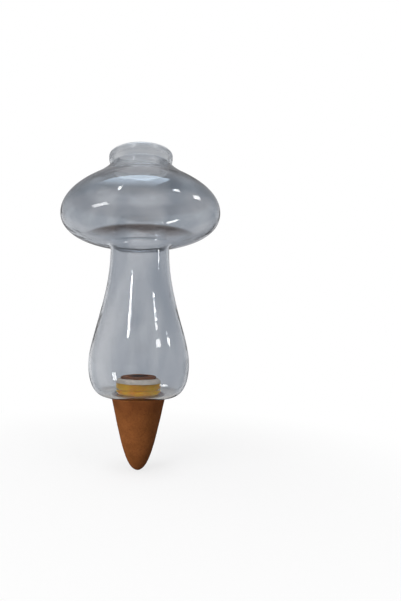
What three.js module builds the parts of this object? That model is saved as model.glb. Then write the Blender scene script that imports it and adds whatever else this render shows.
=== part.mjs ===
// A plant waterer: a clear bottle in the shape of a mushroom, pushed over a ribbed seal
// on the head of a hollow clay spike. Millimetres, +Z up. The origin is on the axis, in the
// plane of the bottle's base, which lies on the soil when the spike is in the ground.

import * as THREE from 'three';

// Bottle. Heights are above the base plane, and radii are to the outside of the wall.
// A pull is the length of the handle at one end of a curve.
const BOTTLE_HEIGHT = 140.5;
const WALL = 1.3;
const LIP_RADIUS = 18.7;
const LIP_HEIGHT = 6.5;
const LIP_ROUND = 1.4;
const LIP_EDGE = 0.2;
const LIP_FALL = 60; // degrees below level where the rolled lip runs in to the throat
const LIP_PULL = 2;
const MOUTH_RADIUS = 16.8;
const THROAT_RADIUS = 17.6;
const THROAT_FILLET = 0.5;
const THROAT_FALL = 55; // degrees below level where the shoulder leaves the throat
const THROAT_PULL = 4;
const DOME_RADIUS = 28.8; // where the hollow shoulder turns into the dome of the cap
const DOME_LEVEL = 123.9;
const DOME_FALL = 33.5; // degrees below level
const DOME_PULL = 4.2;
const CAP_RADIUS = 46;
const CAP_LEVEL = 103.7;
const CAP_PULL_UP = 10.6;
const CAP_PULL_DOWN = 10.2;
const UNDERSIDE_RISE = 9; // degrees above level where the underside leaves the stem
const UNDERSIDE_PULL = 14.3;
const STEM_RADIUS = 17;
const STEM_LEVEL = 84; // height of the stem's narrowest ring
const STEM_FILLET = 3;
const STEM_PULL = 29.6;
const BULB_RADIUS = 28.6;
const BULB_LEVEL = 18.2;
const BULB_PULL_UP = 15.9;
const BULB_PULL_DOWN = 6.4;
const BASE_RADIUS = 17.4; // outer edge of the flat ring that the bottle sits on
const BASE_PULL = 9.5;
const NECK_FILLET = 1.1; // inside the bottle, where the neck rises from the base

// Clay spike. Its head goes up into the bottle's neck, and its well takes the water.
const SPIKE_LENGTH = 41; // base plane to tip
const SPIKE_RADIUS = 15.2;
const SPIKE_EDGE = 0.4;
const SPIKE_TAPER = 13.6; // degrees off upright, just under the shoulder
const SPIKE_PULL = 16.4;
const TIP_PULL = 7.6;
const TIP_WALL = 9; // clay left below the well
const HEAD_RADIUS = 10.1;
const HEAD_COLLAR = 3.3; // height of the collar that keeps the seal on the head
const HEAD_ROUND = 0.8;
const WELL_RADIUS = 5.4;
const WELL_ROUND = 0.6;
const WELL_END_RADIUS = 3.4;

// Seal. A soft sleeve that sits in a groove round the spike's head.
const SEAL_HEIGHT = 7.75;
const SEAL_STAND = 1.05; // how far the ribs stand out past the head's collar
const SEAT_DEPTH = 0.9; // depth of the groove in the head
const RIB_COUNT = 2;
const RIB_ROUND = 0.4;
const RIB_GAP = 0.4;
const RIB_RISE = 0.5; // from the bottom of the gap to the face of a rib

// Clearance between pieces, and how finely the round shapes are cut.
const FIT_GAP = 0.25;
const FACETS = 48;
const CURVE_STEPS = 6;
const ROUND_STEPS = 3;
const SAME_PLACE = 1e-6; // ends of curves nearer than this are one point

// Levels and radii that more than one piece takes from the sizes above.
const shoulderTop = -FIT_GAP;
const collarUnder = SEAL_HEIGHT + FIT_GAP;
const headTop = collarUnder + HEAD_COLLAR;
const seatRadius = HEAD_RADIUS - SEAT_DEPTH;
const sealRadius = HEAD_RADIUS + SEAL_STAND;
const neckBore = sealRadius + FIT_GAP;
const rimRadius = HEAD_RADIUS + FIT_GAP;

const radians = THREE.MathUtils.degToRad;

// Points along a path, each moved to the path's right by the offset.
function pointsAlong(path, offset = 0) {
  const points = [];
  for (const curve of path.curves) {
    if (curve.getLength() < SAME_PLACE) continue;
    const steps = curve.isLineCurve ? 1 : curve.isEllipseCurve ? ROUND_STEPS : CURVE_STEPS;
    for (let step = points.length ? 1 : 0; step <= steps; step++) {
      const place = curve.getPoint(step / steps);
      const ahead = curve.getTangent(step / steps);
      points.push(new THREE.Vector2(place.x + offset * ahead.y, place.y - offset * ahead.x));
    }
  }
  return points;
}

// Turns an outline of radius and height about the Z axis, with its faces outwards.
function revolve(outline) {
  const points = THREE.ShapeUtils.area(outline) < 0 ? outline.toReversed() : outline;
  return new THREE.LatheGeometry(points, FACETS).rotateX(Math.PI / 2);
}

// The bottle's outer face, from the edge of the mouth to the rim of the neck in its base.
function bottleFace() {
  const lipFall = radians(LIP_FALL);
  const throatFall = radians(THROAT_FALL);
  const domeFall = radians(DOME_FALL);
  const rise = radians(UNDERSIDE_RISE);
  const throatLevel = BOTTLE_HEIGHT - LIP_HEIGHT;
  const throatCentre = THROAT_RADIUS + THROAT_FILLET;
  const lipEndRadius = throatCentre - THROAT_FILLET * Math.sin(lipFall);
  const lipEndLevel = throatLevel + THROAT_FILLET * Math.cos(lipFall);
  const throatEndRadius = throatCentre - THROAT_FILLET * Math.sin(throatFall);
  const throatEndLevel = throatLevel - THROAT_FILLET * Math.cos(throatFall);
  const filletCentre = STEM_RADIUS + STEM_FILLET;
  const joinRadius = filletCentre - STEM_FILLET * Math.sin(rise);
  const joinLevel = STEM_LEVEL + STEM_FILLET * Math.cos(rise);
  const foldRound = NECK_FILLET + WALL;

  const face = new THREE.Path();
  face.moveTo(MOUTH_RADIUS + LIP_EDGE, BOTTLE_HEIGHT);
  // Lip, rolled outwards, and the throat under it
  face.lineTo(LIP_RADIUS - LIP_ROUND, BOTTLE_HEIGHT);
  face.absarc(LIP_RADIUS - LIP_ROUND, BOTTLE_HEIGHT - LIP_ROUND, LIP_ROUND, Math.PI / 2, 0, true);
  face.bezierCurveTo(
    LIP_RADIUS, BOTTLE_HEIGHT - LIP_ROUND - LIP_PULL,
    lipEndRadius + LIP_PULL * Math.cos(lipFall), lipEndLevel + LIP_PULL * Math.sin(lipFall),
    lipEndRadius, lipEndLevel,
  );
  face.absarc(
    throatCentre, throatLevel, THROAT_FILLET, Math.PI / 2 + lipFall, 3 * Math.PI / 2 - throatFall, false,
  );
  // Shoulder, hollow under the throat
  face.bezierCurveTo(
    throatEndRadius + THROAT_PULL * Math.cos(throatFall), throatEndLevel - THROAT_PULL * Math.sin(throatFall),
    DOME_RADIUS - DOME_PULL * Math.cos(domeFall), DOME_LEVEL + DOME_PULL * Math.sin(domeFall),
    DOME_RADIUS, DOME_LEVEL,
  );
  // Dome, down to the widest ring of the cap
  face.bezierCurveTo(
    DOME_RADIUS + DOME_PULL * Math.cos(domeFall), DOME_LEVEL - DOME_PULL * Math.sin(domeFall),
    CAP_RADIUS, CAP_LEVEL + CAP_PULL_UP,
    CAP_RADIUS, CAP_LEVEL,
  );
  // Underside of the cap, in to the stem
  face.bezierCurveTo(
    CAP_RADIUS, CAP_LEVEL - CAP_PULL_DOWN,
    joinRadius + UNDERSIDE_PULL * Math.cos(rise), joinLevel + UNDERSIDE_PULL * Math.sin(rise),
    joinRadius, joinLevel,
  );
  face.absarc(filletCentre, STEM_LEVEL, STEM_FILLET, Math.PI / 2 + rise, Math.PI, false);
  // Stem, widening down to the bulb
  face.bezierCurveTo(
    STEM_RADIUS, STEM_LEVEL - STEM_PULL,
    BULB_RADIUS, BULB_LEVEL + BULB_PULL_UP,
    BULB_RADIUS, BULB_LEVEL,
  );
  // Bulb, turning in to the flat base
  face.bezierCurveTo(
    BULB_RADIUS, BULB_LEVEL - BULB_PULL_DOWN,
    BASE_RADIUS + BASE_PULL, 0,
    BASE_RADIUS, 0,
  );
  face.lineTo(neckBore + foldRound, 0);
  // Neck, folded up into the bottle, and its crown, turned in over the seal
  face.absarc(neckBore + foldRound, foldRound, foldRound, -Math.PI / 2, -Math.PI, true);
  face.lineTo(neckBore, SEAL_HEIGHT);
  face.absarc(rimRadius, SEAL_HEIGHT, neckBore - rimRadius, 0, Math.PI / 2, false);
  return face;
}

// The cut edge of the mouth, from the inner face up to the outer one.
function mouthEdge() {
  const edge = new THREE.Path();
  const centre = MOUTH_RADIUS + LIP_EDGE;
  edge.absarc(centre, BOTTLE_HEIGHT - WALL + LIP_EDGE, LIP_EDGE, -Math.PI / 2, -Math.PI, true);
  edge.absarc(centre, BOTTLE_HEIGHT - LIP_EDGE, LIP_EDGE, Math.PI, Math.PI / 2, true);
  return edge;
}

function bottleGeometry() {
  const face = bottleFace();
  const inside = pointsAlong(face, WALL).reverse();
  return revolve([...pointsAlong(face), ...inside, ...pointsAlong(mouthEdge()).slice(1)]);
}

function clayGeometry() {
  const edgeLevel = shoulderTop - SPIKE_EDGE;
  const wellEnd = TIP_WALL + WELL_END_RADIUS - SPIKE_LENGTH;
  const clay = new THREE.Path();
  clay.moveTo(0, -SPIKE_LENGTH);
  clay.bezierCurveTo(
    TIP_PULL, -SPIKE_LENGTH,
    SPIKE_RADIUS - SPIKE_PULL * Math.tan(radians(SPIKE_TAPER)), edgeLevel - SPIKE_PULL,
    SPIKE_RADIUS, edgeLevel,
  );
  clay.absarc(SPIKE_RADIUS - SPIKE_EDGE, edgeLevel, SPIKE_EDGE, 0, Math.PI / 2, false);
  clay.lineTo(seatRadius, shoulderTop);
  clay.lineTo(seatRadius, collarUnder);
  clay.lineTo(HEAD_RADIUS, collarUnder);
  clay.lineTo(HEAD_RADIUS, headTop - HEAD_ROUND);
  clay.absarc(HEAD_RADIUS - HEAD_ROUND, headTop - HEAD_ROUND, HEAD_ROUND, 0, Math.PI / 2, false);
  clay.lineTo(WELL_RADIUS + WELL_ROUND, headTop);
  clay.absarc(WELL_RADIUS + WELL_ROUND, headTop - WELL_ROUND, WELL_ROUND, Math.PI / 2, Math.PI, false);
  clay.lineTo(WELL_END_RADIUS, wellEnd);
  clay.absarc(0, wellEnd, WELL_END_RADIUS, 0, -Math.PI / 2, true);
  return revolve(pointsAlong(clay));
}

function sealGeometry() {
  const bore = seatRadius + FIT_GAP;
  const ribHeight = (SEAL_HEIGHT - (RIB_COUNT - 1) * RIB_GAP) / RIB_COUNT;
  const roundCentre = sealRadius - RIB_ROUND;
  const seal = new THREE.Path();
  seal.moveTo(bore, 0);
  for (let rib = 0; rib < RIB_COUNT; rib++) {
    const low = rib * (ribHeight + RIB_GAP);
    const high = low + ribHeight;
    if (rib > 0) seal.lineTo(sealRadius - RIB_RISE, low);
    seal.lineTo(roundCentre, low);
    seal.absarc(roundCentre, low + RIB_ROUND, RIB_ROUND, -Math.PI / 2, 0, false);
    seal.lineTo(sealRadius, high - RIB_ROUND);
    seal.absarc(roundCentre, high - RIB_ROUND, RIB_ROUND, 0, Math.PI / 2, false);
    if (rib < RIB_COUNT - 1) seal.lineTo(sealRadius - RIB_RISE, high);
  }
  seal.lineTo(bore, SEAL_HEIGHT);
  seal.lineTo(bore, 0);
  return revolve(pointsAlong(seal));
}

const glass = new THREE.MeshStandardMaterial({
  color: '#a9b1ba', roughness: 0.05, metalness: 0, transparent: true, opacity: 0.35,
});
const terracotta = new THREE.MeshStandardMaterial({ color: '#7a4a2b', roughness: 0.9, metalness: 0 });
const silicone = new THREE.MeshStandardMaterial({ color: '#a87d22', roughness: 0.45, metalness: 0 });

function piece(name, geometry, material) {
  const mesh = new THREE.Mesh(geometry, material);
  mesh.name = name;
  return mesh;
}

const waterer = new THREE.Group();
waterer.add(
  piece('clay_spike', clayGeometry(), terracotta),
  piece('seal_sleeve', sealGeometry(), silicone),
  piece('bottle', bottleGeometry(), glass),
);

export default waterer;
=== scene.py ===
# %% [markdown]
# A plant waterer, dressed in Blender. On the real object a clear blown bottle in the shape of a
# mushroom is pushed over a yellow seal on the head of a hollow clay spike. Water goes in at the open
# mouth and seeps out through the clay. The frame already holds the three pieces at their real size,
# with the joints between them, so this lesson only gives each piece a finer skin, its finish, a stage
# to stand on, lamps and a camera.

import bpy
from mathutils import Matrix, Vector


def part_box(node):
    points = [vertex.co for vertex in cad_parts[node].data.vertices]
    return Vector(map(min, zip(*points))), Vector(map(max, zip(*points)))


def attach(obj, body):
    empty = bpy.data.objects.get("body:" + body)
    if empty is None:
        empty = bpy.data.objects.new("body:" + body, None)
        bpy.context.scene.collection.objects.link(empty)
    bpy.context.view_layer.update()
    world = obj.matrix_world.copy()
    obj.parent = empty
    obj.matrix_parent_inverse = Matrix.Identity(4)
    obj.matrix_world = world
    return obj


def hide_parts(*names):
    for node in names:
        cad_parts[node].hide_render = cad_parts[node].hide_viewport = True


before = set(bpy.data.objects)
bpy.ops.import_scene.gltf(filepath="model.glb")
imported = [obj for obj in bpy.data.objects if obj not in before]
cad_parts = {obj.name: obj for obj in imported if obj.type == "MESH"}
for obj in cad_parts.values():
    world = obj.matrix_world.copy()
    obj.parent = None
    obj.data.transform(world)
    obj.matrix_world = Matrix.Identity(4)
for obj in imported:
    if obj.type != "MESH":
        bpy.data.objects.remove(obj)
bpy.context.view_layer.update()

# %% [markdown]
# The camera comes first, because it tells how fine the pieces have to be. The photograph was taken
# from close by, a little above the foot of the bottle and looking slightly up, which is why the mouth
# shows its underside. A camera could be aimed by hand until it looks right. Here it is placed by the
# sizes that were fitted to the outline: how far it stands from the axis, how much it looks up, and
# which pixel the aimed point falls on.

# %% Camera
import bpy
from math import cos, pi, radians, sin
from mathutils import Matrix, Vector

MM = 0.001
PHOTO_WIDTH = 401
PHOTO_HEIGHT = 601
SENSOR_MM = 36.0
FOCAL_PIXELS = 418.3
AIM_PIXEL_X = 139.3
AIM_PIXEL_Y = 306.0
AIM_HEIGHT = 51.3 * MM
CAMERA_REACH = 241.3 * MM
LOOK_UP = radians(3.76)
CAMERA_ROLL = radians(0.65)
NEAREST_SEEN = 10 * MM

camera_data = bpy.data.cameras.new("camera")
camera_data.sensor_width = SENSOR_MM
camera_data.lens = FOCAL_PIXELS * SENSOR_MM / PHOTO_HEIGHT
camera_data.shift_x = (PHOTO_WIDTH / 2 - AIM_PIXEL_X) / PHOTO_HEIGHT
camera_data.shift_y = (AIM_PIXEL_Y - PHOTO_HEIGHT / 2) / PHOTO_HEIGHT
camera_data.clip_start = NEAREST_SEEN
camera = bpy.data.objects.new("camera", camera_data)
camera_place = Vector((0, -CAMERA_REACH * cos(LOOK_UP), AIM_HEIGHT - CAMERA_REACH * sin(LOOK_UP)))
camera.matrix_world = (
    Matrix.Translation(camera_place)
    @ Matrix.Rotation(pi / 2 + LOOK_UP, 4, "X")
    @ Matrix.Rotation(CAMERA_ROLL, 4, "Z")
)
bpy.context.scene.collection.objects.link(camera)
bpy.context.scene.camera = camera
print("camera lens", round(camera_data.lens, 2), "mm at", [round(v, 4) for v in camera_place])

# %% [markdown]
# All three pieces are round, so each is one outline turned about the upright axis. The outline could
# be drawn as a curve object with a Screw modifier. A bmesh spin makes the same shape as a plain mesh,
# which is easier to wrinkle afterwards. An outline is a list of points, radius and height in
# millimetres, and two helpers add to it: a cubic curve between two points, and a round corner.

# %% Outlines and turning
import bmesh
from mathutils import noise
from mathutils.geometry import interpolate_bezier

CURVE_POINTS = 28
CORNER_POINTS = 8
SAME_PLACE = 0.002 * MM


def spot(radius, height):
    """A point of an outline, in the plane that gets turned."""
    return Vector((radius, 0, height))


def curve(start, start_handle, end_handle, end):
    """Points along a cubic curve, without its start."""
    return interpolate_bezier(start, start_handle, end_handle, end, CURVE_POINTS)[1:]


def corner(radius, height, rounding, first, last):
    """Points along an arc about a centre, from one angle in degrees to another."""
    points = []
    for step in range(CORNER_POINTS + 1):
        angle = radians(first + (last - first) * step / CORNER_POINTS)
        points.append(spot(radius + rounding * cos(angle), height + rounding * sin(angle)))
    return points


def heading(degrees):
    """One millimetre along a slope, in degrees above level."""
    return spot(cos(radians(degrees)), sin(radians(degrees)))


def turned(outline, steps, closed):
    """A bmesh of an outline in millimetres, turned once about the axis, in metres."""
    bm = bmesh.new()
    verts = [bm.verts.new(point * MM) for point in outline]
    ends = verts[1:] + verts[:1] if closed else verts[1:]
    edges = [bm.edges.new(pair) for pair in zip(verts, ends)]
    bmesh.ops.spin(
        bm, geom=verts + edges, cent=(0, 0, 0), axis=(0, 0, 1), angle=2 * pi, steps=steps, use_merge=True
    )
    bmesh.ops.remove_doubles(bm, verts=bm.verts, dist=SAME_PLACE)
    bmesh.ops.recalc_face_normals(bm, faces=bm.faces)
    bm.normal_update()
    return bm


def waver(bm, depth, wavelength, share):
    """Moves each point along its normal by smooth noise, by the share of the depth that its place gets."""
    shifts = []
    for vert in bm.verts:
        swell = noise.noise(vert.co / wavelength)
        shifts.append(vert.normal * depth * swell * share(vert.co))
    for vert, shift in zip(bm.verts, shifts):
        vert.co += shift


def finished(name, bm, sharp_over):
    """An object of a bmesh, smooth but for edges over an angle in degrees."""
    mesh = bpy.data.meshes.new(name)
    for face in bm.faces:
        face.smooth = True
    bm.to_mesh(mesh)
    bm.free()
    mesh.set_sharp_from_angle(angle=radians(sharp_over))
    piece = bpy.data.objects.new(name, mesh)
    bpy.context.scene.collection.objects.link(piece)
    print(name, len(mesh.polygons), "faces")
    return piece


# %% [markdown]
# The bottle is blown in one piece. From the mouth its outer face runs over the rolled lip, in to the
# throat, down the hollow shoulder, over the dome to the widest ring of the cap, in to the stem, out
# to the bulb and round to the flat base. There the glass is folded up into a neck, whose crown turns
# in over the seal. The inner face is the same outline, one wall thickness further in. A Solidify
# modifier could add the wall, but it would leave the mouth's edge square, so both faces and the
# rounded edge are drawn as one closed outline.

# %% Sizes that pieces share
bottle_low, bottle_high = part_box("bottle")
spike_low, spike_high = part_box("clay_spike")
seal_low, seal_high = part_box("seal_sleeve")
FIT_GAP = 0.25
BOTTLE_HEIGHT = bottle_high[2] / MM
CAP_RADIUS = bottle_high[0] / MM
SPIKE_RADIUS = spike_high[0] / MM
SPIKE_TIP = spike_low[2] / MM
HEAD_TOP = spike_high[2] / MM
SEAL_RADIUS = seal_high[0] / MM
SEAL_HEIGHT = seal_high[2] / MM
HEAD_RADIUS = 10.1
SEAT_RADIUS = 9.2
NECK_BORE = SEAL_RADIUS + FIT_GAP
RIM_RADIUS = HEAD_RADIUS + FIT_GAP
print("bottle", round(BOTTLE_HEIGHT, 2), "cap", round(CAP_RADIUS, 2), "tip", round(SPIKE_TIP, 2))

# %% Bottle's outline
WALL = 1.3
LIP_RADIUS = 18.7
LIP_ROUND = 1.4
LIP_EDGE = 0.2
LIP_SLOPE = -120
LIP_PULL = 2
MOUTH_RADIUS = 16.8
THROAT = spot(17.6, BOTTLE_HEIGHT - 6.5)
THROAT_FILLET = 0.5
THROAT_SLOPE = -55
THROAT_PULL = 4
DOME = spot(28.8, 123.9)
DOME_SLOPE = -33.5
DOME_PULL = 4.2
CAP = spot(CAP_RADIUS, 103.7)
CAP_PULL_UP = 10.6
CAP_PULL_DOWN = 10.2
UNDERSIDE_SLOPE = 9
UNDERSIDE_PULL = 14.3
STEM = spot(17, 84)
STEM_FILLET = 3
STEM_PULL = 29.6
BULB = spot(28.6, 18.2)
BULB_PULL_UP = 15.9
BULB_PULL_DOWN = 6.4
BASE = spot(17.4, 0)
BASE_PULL = 9.5
FOLD_ROUND = 2.4
UP = spot(0, 1)
OUT = spot(1, 0)


def bottle_face():
    """The dry outer face, from the edge of the mouth to the rim of the crown."""
    lip = corner(LIP_RADIUS - LIP_ROUND, BOTTLE_HEIGHT - LIP_ROUND, LIP_ROUND, 90, 0)
    throat = corner(THROAT.x + THROAT_FILLET, THROAT.z, THROAT_FILLET, LIP_SLOPE - 90, THROAT_SLOPE - 90)
    fillet = corner(STEM.x + STEM_FILLET, STEM.z, STEM_FILLET, 90 + UNDERSIDE_SLOPE, 180)
    face = [spot(MOUTH_RADIUS + LIP_EDGE, BOTTLE_HEIGHT)] + lip
    face += curve(lip[-1], lip[-1] - LIP_PULL * UP, throat[0] - LIP_PULL * heading(LIP_SLOPE), throat[0])
    face += throat[1:]
    throat_handle = throat[-1] + THROAT_PULL * heading(THROAT_SLOPE)
    face += curve(throat[-1], throat_handle, DOME - DOME_PULL * heading(DOME_SLOPE), DOME)
    face += curve(DOME, DOME + DOME_PULL * heading(DOME_SLOPE), CAP + CAP_PULL_UP * UP, CAP)
    underside_handle = fillet[0] + UNDERSIDE_PULL * heading(UNDERSIDE_SLOPE)
    face += curve(CAP, CAP - CAP_PULL_DOWN * UP, underside_handle, fillet[0])
    face += fillet[1:]
    face += curve(STEM, STEM - STEM_PULL * UP, BULB + BULB_PULL_UP * UP, BULB)
    face += curve(BULB, BULB - BULB_PULL_DOWN * UP, BASE + BASE_PULL * OUT, BASE)
    face += corner(NECK_BORE + FOLD_ROUND, FOLD_ROUND, FOLD_ROUND, -90, -180)
    face += corner(RIM_RADIUS, SEAL_HEIGHT, NECK_BORE - RIM_RADIUS, 0, 90)
    return face


def wall_inside(face):
    """The wet inner face: each point of the outer face, moved in by the wall."""
    inside = []
    for place, point in enumerate(face):
        before = face[max(place - 1, 0)]
        after = face[min(place + 1, len(face) - 1)]
        along = (after - before).normalized()
        inside.append(point + WALL * spot(along.z, -along.x))
    return inside


def mouth_edge():
    """The rounded edge of the mouth, from the inner face up to the outer one, without its ends."""
    centre = MOUTH_RADIUS + LIP_EDGE
    edge = corner(centre, BOTTLE_HEIGHT - WALL + LIP_EDGE, LIP_EDGE, -90, -180)
    edge += corner(centre, BOTTLE_HEIGHT - LIP_EDGE, LIP_EDGE, 180, 90)
    return edge[1:-1]


# %% [markdown]
# Blown walls are never quite even, and that is what makes a long highlight wobble. The noise below
# moves the two faces by a tenth of a millimetre or so, with waves a few centimetres long. It fades
# out at the lip, which is shaped by a tool, and at the neck, which has to fit the seal. The neck is
# wet, and its crown is white as a painted highlight, so their faces get material slots of their own.

# %% Bottle
BOTTLE_STEPS = 128
WALL_WAVER = 0.16 * MM
WALL_WAVE_LENGTH = 21 * MM
EVEN_BELOW = 12 * MM
UNEVEN_ABOVE = 30 * MM
EVEN_AT_LIP = 130 * MM
CLEAR_SLOT, NECK_SLOT, CROWN_LIGHT_SLOT = 0, 1, 2
CROWN_REACH = (NECK_BORE + WALL + 0.5) * MM
NECK_REACH = (NECK_BORE + FOLD_ROUND + 0.2) * MM
CROWN_LOW = SEAL_HEIGHT * MM
CROWN_TOP = (SEAL_HEIGHT + 4) * MM


def blown(place):
    """How freely the wall wavers at a place: nothing at the neck and lip, all of it between."""
    rising = (place.z - EVEN_BELOW) / (UNEVEN_ABOVE - EVEN_BELOW)
    falling = (EVEN_AT_LIP - place.z) / (UNEVEN_ABOVE - EVEN_BELOW)
    return max(0.0, min(rising, falling, 1.0))


dry_face = bottle_face()
bottle_outline = dry_face + wall_inside(dry_face)[::-1] + mouth_edge()
bottle_mesh = turned(bottle_outline, BOTTLE_STEPS, closed=True)
waver(bottle_mesh, WALL_WAVER, WALL_WAVE_LENGTH, blown)
for face in bottle_mesh.faces:
    centre = face.calc_center_median()
    if centre.z < CROWN_LOW and centre.xy.length < NECK_REACH:
        face.material_index = NECK_SLOT
    elif centre.z < CROWN_TOP and centre.xy.length < CROWN_REACH:
        # the crown carries the painted highlight
        face.material_index = CROWN_LIGHT_SLOT
bottle = finished("glass_bottle", bottle_mesh, sharp_over=50)

# %% [markdown]
# The seal is a soft sleeve that sits in a groove round the clay head. Two ribs with rounded shoulders
# press against the neck, with a narrow gap between them. Where rubber is wet against glass there is
# no air between the two, and the glass then carries its colour across the whole width of the neck. So
# the ribs reach a hair past the neck's bore. A loop draws as many ribs as the sleeve has, and a spin
# turns the closed outline into a ring.

# %% Seal
SEAL_STEPS = 96
SEAL_BORE = SEAT_RADIUS + FIT_GAP
RIB_FACE = NECK_BORE + 0.06
RIB_COUNT = 2
RIB_GAP = 0.4
RIB_RISE = 0.5
RIB_ROUND = 0.4
RIB_HEIGHT = (SEAL_HEIGHT - (RIB_COUNT - 1) * RIB_GAP) / RIB_COUNT


def seal_outline():
    """The sleeve's section: its bore, and one rounded rib above another."""
    section = [spot(SEAL_BORE, 0)]
    for rib in range(RIB_COUNT):
        low = rib * (RIB_HEIGHT + RIB_GAP)
        high = low + RIB_HEIGHT
        section += [spot(RIB_FACE - RIB_RISE, low)] if rib else []
        section += corner(RIB_FACE - RIB_ROUND, low + RIB_ROUND, RIB_ROUND, -90, 0)
        section += corner(RIB_FACE - RIB_ROUND, high - RIB_ROUND, RIB_ROUND, 0, 90)
        section += [spot(RIB_FACE - RIB_RISE, high)] if rib < RIB_COUNT - 1 else []
    return section + [spot(SEAL_BORE, SEAL_HEIGHT)]


seal = finished("ribbed_seal", turned(seal_outline(), SEAL_STEPS, closed=True), sharp_over=40)

# %% [markdown]
# The spike is thrown or pressed in clay and fired without a glaze. It has a tapering flank with a
# blunt tip, a flat shoulder under the bottle's base, a head with the seal's groove, and a blind well
# down the middle. Its outline starts and ends on the axis, and merging doubles closes the poles.
# Fired clay is a little uneven, so the flank gets shallow swellings as real shape. The fine grain is
# left to the material.

# %% Clay spike
SPIKE_STEPS = 128
SPIKE_EDGE = 0.4
SPIKE_TAPER = -103.6
SPIKE_PULL = 16.9
TIP_PULL = 7.6
HEAD_COLLAR = HEAD_TOP - SEAL_HEIGHT - FIT_GAP
HEAD_ROUND = 0.8
WELL_RADIUS = 5.4
WELL_ROUND = 0.6
WELL_END_RADIUS = 3.4
TIP_WALL = 9
CLAY_WAVER = 0.1 * MM
CLAY_WAVE_LENGTH = 5 * MM
CLAY_EVEN_ABOVE = -1.5 * MM


def spike_outline():
    """From the tip up the flank, over shoulder and head, and down into the well."""
    tip = spot(0, SPIKE_TIP)
    edge = corner(SPIKE_RADIUS - SPIKE_EDGE, -FIT_GAP - SPIKE_EDGE, SPIKE_EDGE, 0, 90)
    outline = [tip]
    outline += curve(tip, tip + TIP_PULL * OUT, edge[0] + SPIKE_PULL * heading(SPIKE_TAPER), edge[0])
    outline += edge[1:]
    outline += [spot(SEAT_RADIUS, -FIT_GAP), spot(SEAT_RADIUS, HEAD_TOP - HEAD_COLLAR)]
    outline += [spot(HEAD_RADIUS, HEAD_TOP - HEAD_COLLAR)]
    outline += corner(HEAD_RADIUS - HEAD_ROUND, HEAD_TOP - HEAD_ROUND, HEAD_ROUND, 0, 90)
    outline += corner(WELL_RADIUS + WELL_ROUND, HEAD_TOP - WELL_ROUND, WELL_ROUND, 90, 180)
    outline += corner(0, SPIKE_TIP + TIP_WALL + WELL_END_RADIUS, WELL_END_RADIUS, 0, -90)
    return outline


def bare_flank(place):
    """The clay wavers only below the shoulder, where nothing has to fit it."""
    return 1.0 if place.z < CLAY_EVEN_ABOVE else 0.0


spike_mesh = turned(spike_outline(), SPIKE_STEPS, closed=False)
waver(spike_mesh, CLAY_WAVER, CLAY_WAVE_LENGTH, bare_flank)
spike = finished("terracotta_spike", spike_mesh, sharp_over=40)

# %% [markdown]
# The finishes come next. Each one is a tree of nodes, and wiring them one by one hides the idea, so a
# few helpers do the wiring. A colour is written as on a paint card and turned into Blender's linear
# numbers. A value that goes into a helper may be a plain number or the output of another node.
# Patterns are laid out by the place on the object, so they stay put when the piece moves.

# %% Material helpers
WHITE = (1, 1, 1, 1)


def linear(card):
    """A colour such as 76462a in linear numbers, with full alpha."""
    parts = [int(card[place:place + 2], 16) / 255 for place in (0, 2, 4)]
    return [part / 12.92 if part < 0.04045 else ((part + 0.055) / 1.055) ** 2.4 for part in parts] + [1.0]


def empty_material(name):
    """A material with an empty tree, and that tree."""
    material = bpy.data.materials.new(name)
    material.use_nodes = True
    material.node_tree.nodes.clear()
    return material, material.node_tree


def feed(tree, socket, value):
    """Sets an input to a plain value, or links it to another node's output."""
    if isinstance(value, bpy.types.NodeSocket):
        tree.links.new(value, socket)
    else:
        socket.default_value = value


def add_node(tree, kind, settings=None, **values):
    """A node with its settings, such as an operation, and what goes into its inputs by name."""
    node = tree.nodes.new(kind)
    for key, value in (settings or {}).items():
        setattr(node, key, value)
    for key, value in values.items():
        feed(tree, node.inputs[key.replace("_", " ")], value)
    return node


def sums(tree, operation, first, second):
    """One step of arithmetic, such as MULTIPLY or LESS_THAN."""
    node = add_node(tree, "ShaderNodeMath", {"operation": operation})
    feed(tree, node.inputs[0], first)
    feed(tree, node.inputs[1], second)
    return node.outputs[0]


def ranged(tree, value, low, high, to_low=0.0, to_high=1.0):
    """A value eased from one range into another."""
    node = add_node(
        tree, "ShaderNodeMapRange", {"interpolation_type": "SMOOTHSTEP"},
        Value=value, From_Min=low, From_Max=high, To_Min=to_low, To_Max=to_high,
    )
    return node.outputs["Result"]


def blended(tree, mask, first, second, kind="MIX"):
    """Two colours mixed by a mask."""
    node = add_node(tree, "ShaderNodeMix", {"data_type": "RGBA", "blend_type": kind}, Factor=mask)
    feed(tree, node.inputs[6], first)
    feed(tree, node.inputs[7], second)
    return node.outputs[2]


def ramp(tree, source, stops):
    """A colour ramp fed by a value, with stops of position and colour."""
    node = add_node(tree, "ShaderNodeValToRGB", Fac=source)
    while len(node.color_ramp.elements) < len(stops):
        node.color_ramp.elements.new(0.5)
    for element, (position, colour) in zip(node.color_ramp.elements, stops):
        element.position = position
        element.color = colour
    return node.outputs["Color"]


def all_of(tree, *masks):
    """Masks multiplied together, so that only what each of them keeps is kept."""
    kept = masks[0]
    for mask in masks[1:]:
        kept = sums(tree, "MULTIPLY", kept, mask)
    return kept


def clouded(tree, place, scale, detail):
    """Smooth noise over a place, around a half."""
    return add_node(tree, "ShaderNodeTexNoise", Vector=place, Scale=scale, Detail=detail).outputs["Fac"]


def place_on(tree):
    """Where a point is on the object, in the object's own coordinates."""
    return add_node(tree, "ShaderNodeTexCoord").outputs["Object"]


def parts_of(tree, place):
    """The X, Y and Z of a place, by name."""
    return add_node(tree, "ShaderNodeSeparateXYZ", Vector=place).outputs


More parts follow.
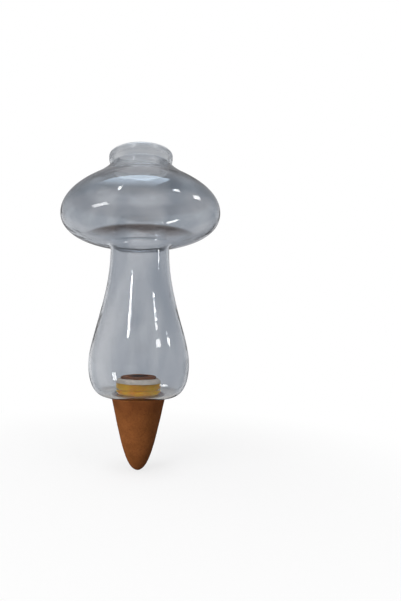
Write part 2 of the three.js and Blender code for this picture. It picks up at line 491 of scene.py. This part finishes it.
def reach_of(tree, place):
    """How far a place is from the axis."""
    level = add_node(tree, "ShaderNodeVectorMath", {"operation": "MULTIPLY"})
    feed(tree, level.inputs[0], place)
    level.inputs[1].default_value = (1, 1, 0)
    reach = add_node(tree, "ShaderNodeVectorMath", {"operation": "LENGTH"})
    feed(tree, reach.inputs[0], level.outputs[0])
    return reach.outputs["Value"]


def surface(tree, shader):
    """Ends a material's tree with a shader."""
    tree.links.new(shader, add_node(tree, "ShaderNodeOutputMaterial").inputs["Surface"])


# %% [markdown]
# Three of the finishes have a fine grain: ground glass, moulded silicone and fired clay. It is the
# same effect at different sizes, so it is built once as a node group. It takes a place, how fine the
# grain is, the range of roughness and the depth of the bumps, and gives the grain, the roughness and
# the bumpy normal.

# %% Fine grain
GROUP_INPUTS = (
    ("Vector", "NodeSocketVector"), ("Scale", "NodeSocketFloat"), ("Smoothest", "NodeSocketFloat"),
    ("Roughest", "NodeSocketFloat"), ("Depth", "NodeSocketFloat"),
)
GROUP_OUTPUTS = (
    ("Grain", "NodeSocketFloat"), ("Roughness", "NodeSocketFloat"), ("Normal", "NodeSocketVector"),
)


def make_fine_grain():
    group = bpy.data.node_groups.new("fine_grain", "ShaderNodeTree")
    for name, kind in GROUP_INPUTS:
        group.interface.new_socket(name=name, in_out="INPUT", socket_type=kind)
    for name, kind in GROUP_OUTPUTS:
        group.interface.new_socket(name=name, in_out="OUTPUT", socket_type=kind)
    given = group.nodes.new("NodeGroupInput").outputs
    result = group.nodes.new("NodeGroupOutput").inputs
    grain = clouded(group, given["Vector"], given["Scale"], 3.0)
    feed(group, result["Grain"], grain)
    feed(group, result["Roughness"], ranged(group, grain, 0.3, 0.7, given["Smoothest"], given["Roughest"]))
    bump = add_node(group, "ShaderNodeBump", Strength=0.6, Distance=given["Depth"], Height=grain)
    feed(group, result["Normal"], bump.outputs["Normal"])
    return group


FINE_GRAIN = make_fine_grain()


def add_grain(tree, place, scale, smoothest, roughest, depth):
    """The fine grain group, placed in a material with its own values."""
    return add_node(
        tree, "ShaderNodeGroup", {"node_tree": FINE_GRAIN},
        Vector=place, Scale=scale, Smoothest=smoothest, Roughest=roughest, Depth=depth,
    ).outputs


print("fine grain", [socket.name for socket in FINE_GRAIN.interface.items_tree])

# %% [markdown]
# The bottle is clear. Its cool grey cast is painted shade: it stands for the dim surround that clear
# glass shows. In a wall this thin the cast hardly changes with the way that light has to go, so it
# is put in the glass's colour and needs no volume. Slow streaks make it a little uneven, as blown
# glass is. Up the cap and at the foot it gets deeper or paler in rings, the same all round: painted
# shade and painted light for the darker and paler bands that the room gives the glass. These steps
# were matched to the photograph. Under the cap a brownish arc on one side is a painted reflection.
# All of these are found by their place on the object.

# %% Tint of the glass, with painted shade
# painted shade: the grey cast stands for the dim surround seen through clear glass
GLASS_PAINTED_SHADE = linear("d8dadd")
# rings up the cap: painted shade at cap, crest, shoulder and throat, painted light at the lip
CAP_PAINTED_SHADE = linear("cbd0d5")
CREST_PAINTED_SHADE = linear("bcbfc4")
SHOULDER_PAINTED_SHADE = linear("d4d7db")
THROAT_PAINTED_SHADE = linear("c2c5c9")
LIP_PAINTED_LIGHT = linear("e6e8ea")
CLOUD_SHADE = linear("e1e4e8")
# painted reflection: a brownish arc under the cap, on one side
ARC_REFLECTION_SHADE = linear("8a7c75")
# painted shade at the foot: darker grey on the outer foot, lighter towards the base
FOOT_PAINTED_SHADE = linear("c4bfb9")
BASE_PAINTED_SHADE = linear("efeae2")
ARC_INNER = 17 * MM
ARC_MIDDLE = 30 * MM
ARC_EDGE = 32.2 * MM
ARC_OUTER = 33.4 * MM
ARC_LOW = 80 * MM
ARC_HIGH = 96 * MM
ARC_NONE = -8 * MM
ARC_FULL = -30 * MM
ARC_STREAK_SCALE = 70.0
ARC_WANDER = 18 * MM
TOP_FROM = 104 * MM
TOP_HEIGHT = 36 * MM
TOP_PAINTED_BANDS = (
    (0.0, GLASS_PAINTED_SHADE), (0.08, CAP_PAINTED_SHADE), (0.22, CAP_PAINTED_SHADE), (0.28, CREST_PAINTED_SHADE), (0.39, CREST_PAINTED_SHADE),
    (0.46, SHOULDER_PAINTED_SHADE), (0.57, SHOULDER_PAINTED_SHADE), (0.65, THROAT_PAINTED_SHADE), (0.8, THROAT_PAINTED_SHADE), (0.86, LIP_PAINTED_LIGHT),
)
FOOT_CLEAR = 3.6 * MM
FOOT_FULL = 1.2 * MM
FOOT_REACH = 23.5 * MM
BASE_REACH = 19 * MM
CLOUD_SCALE = 38.0
CLOUD_STRETCH = (1, 1, 0.35)
CLOUD_SHIFT = (0.2, 0.05, 0.1)
CLOUD_FROM, CLOUD_FULL = 0.4, 0.65


def reflection_arc_mask(tree, place, along, reach):
    """The painted reflection arc under the cap: sharp outside, with a soft inner edge that wanders."""
    streaks = clouded(tree, place, ARC_STREAK_SCALE, 2.0)
    wander = sums(tree, "MULTIPLY", sums(tree, "SUBTRACT", 0.5, streaks), ARC_WANDER)
    inner = ranged(tree, sums(tree, "ADD", reach, wander), ARC_INNER, ARC_MIDDLE)
    outer = ranged(tree, reach, ARC_EDGE, ARC_OUTER, 1.0, 0.0)
    over = sums(tree, "GREATER_THAN", along["Z"], ARC_LOW)
    under = sums(tree, "LESS_THAN", along["Z"], ARC_HIGH)
    one_side = ranged(tree, along["Y"], ARC_NONE, ARC_FULL)
    return all_of(tree, inner, outer, over, under, one_side)


def glass_tint(tree, place):
    """The colour of the glass by place, with painted shade, painted light and a painted reflection."""
    along, reach = parts_of(tree, place), reach_of(tree, place)
    up_top = sums(tree, "DIVIDE", sums(tree, "SUBTRACT", along["Z"], TOP_FROM), TOP_HEIGHT)
    # painted shade and painted light in rings up the cap
    tint = ramp(tree, up_top, TOP_PAINTED_BANDS)
    stretched = add_node(tree, "ShaderNodeVectorMath", {"operation": "MULTIPLY_ADD"})
    feed(tree, stretched.inputs[0], place)
    stretched.inputs[1].default_value = CLOUD_STRETCH
    stretched.inputs[2].default_value = CLOUD_SHIFT
    clouds = clouded(tree, stretched.outputs[0], CLOUD_SCALE, 2.0)
    clouds = ranged(tree, clouds, CLOUD_FROM, CLOUD_FULL)
    tint = blended(tree, clouds, tint, CLOUD_SHADE, "MULTIPLY")
    # painted reflection: the brownish arc under the cap
    tint = blended(tree, reflection_arc_mask(tree, place, along, reach), tint, ARC_REFLECTION_SHADE, "MULTIPLY")
    # painted shade at the foot, darker on its outer ring
    painted_foot_shade = blended(tree, ranged(tree, reach, BASE_REACH, FOOT_REACH), BASE_PAINTED_SHADE, FOOT_PAINTED_SHADE)
    return blended(tree, ranged(tree, along["Z"], FOOT_CLEAR, FOOT_FULL), tint, painted_foot_shade, "MULTIPLY")


print("tints up the cap:", len(TOP_PAINTED_BANDS), "stops")

# %% [markdown]
# Glass would shut out the lamps, because a renderer looks for lamps along straight lines. So shadow
# rays meet a Transparent shader instead, and the seal and the clay inside stay lit. Low ripples break
# up the highlights, and faint smears in the roughness keep them from looking like plastic. The lip
# was pressed by a tool and is duller. The neck and the fold at its foot are clearer than the rest,
# and wet: water in the gap bends light nearly as much as glass does, so they hardly mirror anything
# and have a low index of refraction.

# %% Glass
NECK_TINT = linear("f6f7f6")
NECK_DULL_TINT = linear("e9ebe9")
GLASS_LAMP_TINT = linear("f9f9fa")
GLASS_IOR = 1.5
WET_IOR = 1.15
SMEAR_SCALE = 38.0
SMEAR_FROM, SMEAR_FULL = 0.45, 0.75
CLEAN_ROUGHNESS, SMEARED_ROUGHNESS = 0.012, 0.05
NECK_CLEAN_ROUGHNESS, NECK_SMEARED_ROUGHNESS = 0.02, 0.08
RIPPLE_SCALE = 120.0
RIPPLE_DEPTH = 0.12 * MM
LIP_FROM = 134 * MM
LIP_FULL = 138 * MM
LIP_ROUGHNESS = 0.3


def open_to_lamps(tree, glass):
    """Ends a glass tree: shadow rays pass, and all others meet the glass."""
    open_way = add_node(tree, "ShaderNodeBsdfTransparent", Color=GLASS_LAMP_TINT)
    rays = add_node(tree, "ShaderNodeLightPath")
    choice = add_node(tree, "ShaderNodeMixShader", Fac=rays.outputs["Is Shadow Ray"])
    feed(tree, choice.inputs[1], glass.outputs[0])
    feed(tree, choice.inputs[2], open_way.outputs[0])
    surface(tree, choice.outputs[0])


def make_glass():
    material, tree = empty_material("clear_glass")
    place = place_on(tree)
    ripple = clouded(tree, place, RIPPLE_SCALE, 1.0)
    bump = add_node(tree, "ShaderNodeBump", Strength=1.0, Distance=RIPPLE_DEPTH, Height=ripple)
    smear = clouded(tree, place, SMEAR_SCALE, 3.0)
    smeared = ranged(tree, smear, SMEAR_FROM, SMEAR_FULL, CLEAN_ROUGHNESS, SMEARED_ROUGHNESS)
    pressed = ranged(tree, parts_of(tree, place)["Z"], LIP_FROM, LIP_FULL, 0.0, LIP_ROUGHNESS)
    glass = add_node(
        tree, "ShaderNodeBsdfPrincipled", Base_Color=glass_tint(tree, place),
        Roughness=sums(tree, "MAXIMUM", smeared, pressed), IOR=GLASS_IOR, Transmission_Weight=1.0,
        Normal=bump.outputs["Normal"],
    )
    open_to_lamps(tree, glass)
    return material


def make_neck_glass():
    material, tree = empty_material("neck_glass")
    smear = clouded(tree, place_on(tree), SMEAR_SCALE, 3.0)
    smeared = ranged(tree, smear, SMEAR_FROM, SMEAR_FULL, NECK_CLEAN_ROUGHNESS, NECK_SMEARED_ROUGHNESS)
    glass = add_node(
        tree, "ShaderNodeBsdfPrincipled",
        Base_Color=ramp(tree, smear, [(0.4, NECK_TINT), (0.7, NECK_DULL_TINT)]),
        Roughness=smeared, IOR=WET_IOR, Transmission_Weight=1.0,
    )
    open_to_lamps(tree, glass)
    return material


# %% [markdown]
# The crown of the neck is matt and white, a painted highlight for the bright light that the clear
# crown catches. It still lets some light through, so it keeps a share of transmission under a
# rough, chalky skin.

# %% Crown, with painted highlight
CROWN_HIGHLIGHT_PALE = linear("d0c4b2")
CROWN_HIGHLIGHT_GREY = linear("b4a898")
CROWN_FROST_SCALE = 700.0
CROWN_SMOOTHEST, CROWN_ROUGHEST = 0.45, 0.7
CROWN_FROST_DEPTH = 0.05 * MM
CROWN_CLEAR_SHARE = 0.12


def make_crown_highlight_glass():
    material, tree = empty_material("crown_highlight_glass")
    place = place_on(tree)
    frost = add_grain(tree, place, CROWN_FROST_SCALE, CROWN_SMOOTHEST, CROWN_ROUGHEST, CROWN_FROST_DEPTH)
    # painted highlight: a pale ramp for the bright light that the clear crown catches
    chalk = ramp(tree, frost["Grain"], [(0.3, CROWN_HIGHLIGHT_GREY), (0.6, CROWN_HIGHLIGHT_PALE)])
    ground = add_node(
        tree, "ShaderNodeBsdfPrincipled", Base_Color=chalk, Roughness=frost["Roughness"], IOR=GLASS_IOR,
        Transmission_Weight=CROWN_CLEAR_SHARE, Normal=frost["Normal"],
    )
    surface(tree, ground.outputs[0])
    return material


for material in (make_glass(), make_neck_glass(), make_crown_highlight_glass()):
    bottle.data.materials.append(material)
print("glass", [material.name for material in bottle.data.materials])

# %% [markdown]
# The seal is moulded silicone: one warm yellow, satin, with a slight bloom where it has been handled.
# A low noise shifts the yellow a little, and the fine grain breaks up the gloss. Silicone lets light
# in, so a share of subsurface light carries it round into the shaded side.

# %% Silicone
SILICONE_DEEP = linear("d89002")
SILICONE_PALE = linear("eaac06")
SILICONE_BLOTCH_SCALE = 160.0
SILICONE_GRAIN_SCALE = 1400.0
SILICONE_SMOOTHEST, SILICONE_ROUGHEST = 0.38, 0.55
SILICONE_GRAIN_DEPTH = 0.03 * MM
SILICONE_GLOW_SHARE = 0.7
SILICONE_IOR = 1.43
SILICONE_GLOSS = 0.2
SILICONE_DEPTH = 5 * MM
SILICONE_SPREAD = (1.0, 0.5, 0.1)


def make_silicone():
    material, tree = empty_material("seal_silicone")
    place = place_on(tree)
    blotch = clouded(tree, place, SILICONE_BLOTCH_SCALE, 2.0)
    yellow = ramp(tree, blotch, [(0.35, SILICONE_DEEP), (0.65, SILICONE_PALE)])
    satin = add_grain(
        tree, place, SILICONE_GRAIN_SCALE, SILICONE_SMOOTHEST, SILICONE_ROUGHEST, SILICONE_GRAIN_DEPTH
    )
    skin = add_node(
        tree, "ShaderNodeBsdfPrincipled", Base_Color=yellow, Roughness=satin["Roughness"], IOR=SILICONE_IOR,
        Specular_IOR_Level=SILICONE_GLOSS, Normal=satin["Normal"], Subsurface_Weight=SILICONE_GLOW_SHARE,
        Subsurface_Scale=SILICONE_DEPTH, Subsurface_Radius=SILICONE_SPREAD,
    )
    surface(tree, skin.outputs[0])
    return material


seal.data.materials.append(make_silicone())
print("silicone", seal.data.materials[0].name)

# %% [markdown]
# The clay is fired and unglazed, so it is matt, mottled and grainy. Broad blotches come from the
# kiln, the fine grain gives the sandy skin, and a Voronoi pattern gives open pores, which are sunk
# and darkened with painted shade. Inside the well the clay is much darker, with painted shade of the
# deep bore and damp, which is found by its distance from the axis. Under the bottle's foot the clay
# is darker too: a painted shadow of the foot.

# %% Terracotta
CLAY_DARK = linear("764724")
CLAY_MIDDLE = linear("86512b")
CLAY_PALE = linear("935c32")
GRAIN_SHADE = (0.74, 0.71, 0.69, 1)
# painted shade in the pores
PORE_PAINTED_SHADE = (0.4, 0.36, 0.34, 1)
# painted shade of the deep well, with damp clay
WELL_SHADE_AND_DAMP = (0.16, 0.13, 0.11, 1)
# painted shadow of the bottle's foot on the clay under it
UNDER_BASE_SHADOW = (0.7, 0.66, 0.66, 1)
CLAY_BLOTCH_SCALE = 75.0
CLAY_GRAIN_SCALE = 1100.0
CLAY_GRAIN_DEPTH = 0.12 * MM
CLAY_SMOOTHEST, CLAY_ROUGHEST = 0.82, 0.97
SPECK_SHARE = 0.8
PORE_SCALE = 420.0
PORE_SIZE = 0.16
CLAY_IOR = 1.4
CLAY_GLOSS = 0.12
WELL_REACH = (WELL_RADIUS + WELL_ROUND / 2) * MM
WELL_FLOOR = (SPIKE_TIP + TIP_WALL - 1) * MM
UNDER_BASE_SHADOW_FROM = -15 * MM
UNDER_BASE_SHADOW_FULL = 0.0


def make_terracotta():
    material, tree = empty_material("terracotta")
    place = place_on(tree)
    height, reach = parts_of(tree, place)["Z"], reach_of(tree, place)
    blotch = add_node(
        tree, "ShaderNodeTexNoise", Vector=place, Scale=CLAY_BLOTCH_SCALE, Detail=5.0, Roughness=0.6,
    ).outputs["Fac"]
    pores = add_node(tree, "ShaderNodeTexVoronoi", Vector=place, Scale=PORE_SCALE).outputs["Distance"]
    sand = add_grain(tree, place, CLAY_GRAIN_SCALE, CLAY_SMOOTHEST, CLAY_ROUGHEST, CLAY_GRAIN_DEPTH)
    colour = ramp(tree, blotch, [(0.3, CLAY_DARK), (0.5, CLAY_MIDDLE), (0.72, CLAY_PALE)])
    speck = ramp(tree, sand["Grain"], [(0.3, GRAIN_SHADE), (0.6, WHITE)])
    colour = blended(tree, SPECK_SHARE, colour, speck, "MULTIPLY")
    # painted shade in the sunk pores
    colour = blended(tree, ranged(tree, pores, 0.0, PORE_SIZE, 1.0, 0.0), colour, PORE_PAINTED_SHADE, "MULTIPLY")
    in_well = sums(tree, "LESS_THAN", reach, WELL_REACH)
    over_floor = sums(tree, "GREATER_THAN", height, WELL_FLOOR)
    # painted shade in the well, with damp clay
    colour = blended(tree, all_of(tree, in_well, over_floor), colour, WELL_SHADE_AND_DAMP, "MULTIPLY")
    # painted shadow of the bottle's foot, darkest up at the shoulder
    colour = blended(tree, ranged(tree, height, UNDER_BASE_SHADOW_FROM, UNDER_BASE_SHADOW_FULL), colour, UNDER_BASE_SHADOW, "MULTIPLY")
    pit = add_node(
        tree, "ShaderNodeBump", Strength=0.5, Distance=CLAY_GRAIN_DEPTH, Normal=sand["Normal"],
        Height=ranged(tree, pores, 0.0, PORE_SIZE),
    )
    clay = add_node(
        tree, "ShaderNodeBsdfPrincipled", Base_Color=colour, Roughness=sand["Roughness"], IOR=CLAY_IOR,
        Specular_IOR_Level=CLAY_GLOSS, Normal=pit.outputs["Normal"],
    )
    surface(tree, clay.outputs[0])
    return material


spike.data.materials.append(make_terracotta())
print("terracotta", spike.data.materials[0].name)

# %% [markdown]
# The stage is a pale floor just under the tip and a white surround. Near the object the floor takes
# part of its shade from the lamps, so that the shadow shows, and further out it fades into the white.
# It throws back only part of that light, so that the clay keeps its shaded side. A bottle on a white
# sweep would have rims that vanish, so what the glass mirrors is a plain room instead: dim, paler to
# the left, and patchy. Through the glass, too, the surround gets darker high up, as a room does,
# which gives the lip its grey, and it is white again overhead.

# %% Floor
FLOOR_DROP = 0.5 * MM
FLOOR_HALF = 3.0
FLOOR_SHADE_NEAR = 0.05
FLOOR_SHADE_FAR = 0.22
FLOOR_WHITE_NEAR = 0.78
FLOOR_COLOUR = (0.9, 0.9, 0.9, 1)
FLOOR_BOUNCE = (0.5, 0.5, 0.5, 1)
ROOM_DARK = (0.1, 0.1, 0.11, 1)
ROOM_PALE = (0.5, 0.52, 0.55, 1)
FLOOR_LEFT = -0.3
FLOOR_RIGHT = 0.1


def make_floor():
    material, tree = empty_material("pale_floor")
    place = place_on(tree)
    rays = add_node(tree, "ShaderNodeLightPath").outputs
    seen = sums(tree, "MAXIMUM", rays["Is Camera Ray"], rays["Is Transmission Ray"])
    fade = ranged(tree, reach_of(tree, place), FLOOR_SHADE_NEAR, FLOOR_SHADE_FAR, FLOOR_WHITE_NEAR, 1.0)
    share = sums(tree, "MAXIMUM", all_of(tree, fade, seen), rays["Is Glossy Ray"])
    sideways = parts_of(tree, place)["X"]
    mirrored = blended(tree, ranged(tree, sideways, FLOOR_RIGHT, FLOOR_LEFT), ROOM_DARK, ROOM_PALE)
    glow = add_node(tree, "ShaderNodeEmission", Color=blended(tree, seen, mirrored, WHITE))
    paint_colour = blended(tree, rays["Is Diffuse Ray"], FLOOR_COLOUR, FLOOR_BOUNCE)
    paint = add_node(tree, "ShaderNodeBsdfDiffuse", Color=paint_colour)
    mix = add_node(tree, "ShaderNodeMixShader", Fac=share)
    feed(tree, mix.inputs[1], paint.outputs[0])
    feed(tree, mix.inputs[2], glow.outputs[0])
    surface(tree, mix.outputs[0])
    return material


def flat_card(name, width, depth, centre, material):
    """A level card on the stage."""
    bm = bmesh.new()
    bmesh.ops.create_grid(bm, x_segments=1, y_segments=1, size=0.5)
    bmesh.ops.scale(bm, verts=bm.verts, vec=(width, depth, 1))
    bmesh.ops.translate(bm, verts=bm.verts, vec=centre)
    mesh = bpy.data.meshes.new(name)
    bm.to_mesh(mesh)
    bm.free()
    mesh.materials.append(material)
    card = bpy.data.objects.new(name, mesh)
    bpy.context.scene.collection.objects.link(card)
    return card


floor_height = spike_low[2] - FLOOR_DROP
flat_card("floor", 2 * FLOOR_HALF, 2 * FLOOR_HALF, (0, 0, floor_height), make_floor())
print("floor at", round(floor_height, 4))

# %% Surround
ROOM_LIGHT = (0.13, 0.13, 0.13, 1)
ROOM_BEHIND = (0.3, 0.3, 0.31, 1)
ROOM_RIGHT, ROOM_LEFT = 0.3, -0.9
ROOM_FRONT, ROOM_BACK = -0.1, 0.5
ROOM_PATCH_SCALE = 1.8
ROOM_PATCH_LOW, ROOM_PATCH_HIGH = 0.35, 0.65
ROOM_PATCH_DARK = (0.35, 0.35, 0.35, 1)
HALF_DARK = (0.6, 0.6, 0.61, 1)
HIGH_DARK = (0.32, 0.32, 0.33, 1)
BACKDROP = ((0.2, WHITE), (0.42, HALF_DARK), (0.58, HIGH_DARK), (0.72, HIGH_DARK), (0.82, WHITE))


def make_surround():
    surround = bpy.data.worlds.new("surround")
    surround.use_nodes = True
    tree = surround.node_tree
    tree.nodes.clear()
    rays = add_node(tree, "ShaderNodeLightPath").outputs
    seen = sums(tree, "MAXIMUM", rays["Is Camera Ray"], rays["Is Transmission Ray"])
    way = add_node(tree, "ShaderNodeTexCoord").outputs["Generated"]
    along = parts_of(tree, way)
    patches = clouded(tree, way, ROOM_PATCH_SCALE, 1.0)
    room = blended(tree, ranged(tree, along["X"], ROOM_RIGHT, ROOM_LEFT), ROOM_DARK, ROOM_PALE)
    patchy = ranged(tree, patches, ROOM_PATCH_LOW, ROOM_PATCH_HIGH, 1.0, 0.0)
    room = blended(tree, patchy, room, ROOM_PATCH_DARK, "MULTIPLY")
    room = blended(tree, ranged(tree, along["Y"], ROOM_FRONT, ROOM_BACK), room, ROOM_BEHIND)
    level = blended(tree, rays["Is Glossy Ray"], ROOM_LIGHT, room)
    behind = blended(tree, rays["Is Camera Ray"], ramp(tree, along["Z"], BACKDROP), WHITE)
    light = add_node(tree, "ShaderNodeBackground", Color=blended(tree, seen, level, behind))
    feed(tree, add_node(tree, "ShaderNodeOutputWorld").inputs["Surface"], light.outputs[0])
    return surround


bpy.context.scene.world = make_surround()
print("surround", bpy.context.scene.world.name)

# %% [markdown]
# The blue-white crescent under the shoulder is a bright ceiling, mirrored in the dome. A lamp of that
# size would flood the clay with blue light, so the ceiling is a glowing card that only mirror rays
# can see. It is brightest at its far edge, which the dome shows as the top of the crescent, and fades
# out towards the camera and the left.

# %% Ceiling card
CEILING_HEIGHT = 0.9
CEILING_WIDTH = 1.1
CEILING_DEPTH = 1.3
CEILING_SHIFT = (-0.18, -0.71)
CEILING_COLOUR = (0.66, 0.82, 1.0, 1)
CEILING_GLOW = 5.8
CEILING_LEFT_FADE = 0.5


def make_ceiling_glow():
    material, tree = empty_material("ceiling_glow")
    along = parts_of(tree, place_on(tree))
    left = CEILING_SHIFT[0] - CEILING_WIDTH / 2
    near = CEILING_SHIFT[1] - CEILING_DEPTH / 2
    glow = all_of(
        tree, ranged(tree, along["Y"], near, near + CEILING_DEPTH, 0.0, CEILING_GLOW),
        ranged(tree, along["X"], left, left + CEILING_LEFT_FADE),
    )
    surface(tree, add_node(tree, "ShaderNodeEmission", Color=CEILING_COLOUR, Strength=glow).outputs[0])
    return material


ceiling_place = (CEILING_SHIFT[0], CEILING_SHIFT[1], CEILING_HEIGHT)
ceiling = flat_card("ceiling_card", CEILING_WIDTH, CEILING_DEPTH, ceiling_place, make_ceiling_glow())
for kind_of_ray in ("camera", "diffuse", "transmission", "shadow"):
    setattr(ceiling, "visible_" + kind_of_ray, False)
print("ceiling card", CEILING_WIDTH, "by", CEILING_DEPTH)

# %% [markdown]
# Glass shows its lamps as highlights, so their places matter more than their power. Working back from
# the highlights in the photograph, one tall window stands to the left of the camera, and smaller ones
# to the right. They are narrow and bright, but give little light. A broad soft lamp from the front
# left lights the clay, and another from above lights the floor. Both are hidden from mirror rays, so
# that they add no highlights. The small glints come from little lamps that stand close by. Each has a
# narrow beam, so that it shows in one place only.

# %% Lamps
LAMP_REACH = 0.7
LAMP_AIM = (0, 0, 60 * MM)


def add_lamp(name, azimuth, elevation, size, watts, aim=LAMP_AIM, reach=LAMP_REACH):
    """An area lamp, aimed at a place. Azimuth 0 is by the camera and grows to its right, in degrees."""
    data = bpy.data.lights.new(name, "AREA")
    data.shape = "RECTANGLE"
    data.size, data.size_y = size
    data.energy = watts
    lamp = bpy.data.objects.new(name, data)
    turn, lift = radians(azimuth), radians(elevation)
    away = Vector((sin(turn) * cos(lift), -cos(turn) * cos(lift), sin(lift)))
    facing = away.to_track_quat("Z", "Y").to_matrix().to_4x4()
    lamp.matrix_world = Matrix.Translation(Vector(aim) + reach * away) @ facing
    lamp.visible_camera = False
    bpy.context.scene.collection.objects.link(lamp)
    return lamp


add_lamp("left_window", -28.5, 31, (0.055, 0.178), 0.68)
add_lamp("right_window", 50, 31, (0.08, 0.1), 0.4)
add_lamp("side_window", 77.5, 16.3, (0.03, 0.05), 0.09)
for soft in (
    add_lamp("soft_key", -49, 8, (0.45, 0.45), 3.75),
    add_lamp("soft_overhead", -20, 80, (0.35, 0.35), 3.0),
):
    soft.visible_glossy = False
    soft.visible_transmission = False

GLINT_BEAM = radians(44)
GLINT_WATTS_PER_AREA = 2.2
CAP_LEFT = Vector((-19.5, -40, 98.2)) * MM
CAP_RIGHT = Vector((16.1, -33.2, 91.6)) * MM
CAP_SIDE = Vector((27.9, -36.6, 103.3)) * MM
BULB_LEFT = Vector((-12.2, -25.5, 13.4)) * MM
BULB_RIGHT = Vector((12.8, -24.3, 9.2)) * MM
BULB_HIGH = Vector((10, -24.8, 30.9)) * MM
BULB_SIDE = Vector((15.3, -21.9, 31)) * MM
for name, azimuth, elevation, size, aim, reach in (
    ("cap_left_glint", -63, -34, (0.07, 0.034), CAP_LEFT, 0.16),
    ("cap_side_glint", 82, 16, (0.024, 0.022), CAP_SIDE, 0.1),
    ("cap_right_glint", 146, -56, (0.03, 0.008), CAP_RIGHT, 0.12),
    ("bulb_left_glint", -56, -19, (0.018, 0.026), BULB_LEFT, 0.1),
    ("bulb_right_glint", 66, -34, (0.03, 0.006), BULB_RIGHT, 0.08),
    ("bulb_high_glint", 49, 22.7, (0.03, 0.02), BULB_HIGH, 0.15),
    ("bulb_side_glint", 76.8, 19, (0.014, 0.02), BULB_SIDE, 0.15),
):
    glint = add_lamp(name, azimuth, elevation, size, GLINT_WATTS_PER_AREA * size[0] * size[1], aim, reach)
    glint.data.spread = GLINT_BEAM
    glint.visible_transmission = False

# %% [markdown]
# Last, each piece is told which body it moves with and which solid it stands for.

for piece, body, node, slot in (
    (bottle, "bottle", "bottle", "clear_glass"),
    (seal, "seal", "seal_sleeve", "seal_silicone"),
    (spike, "spike", "clay_spike", "terracotta"),
):
    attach(piece, body)
    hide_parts(node)

view = bpy.context.scene.view_settings
view.view_transform = "Standard"
print("pieces placed")
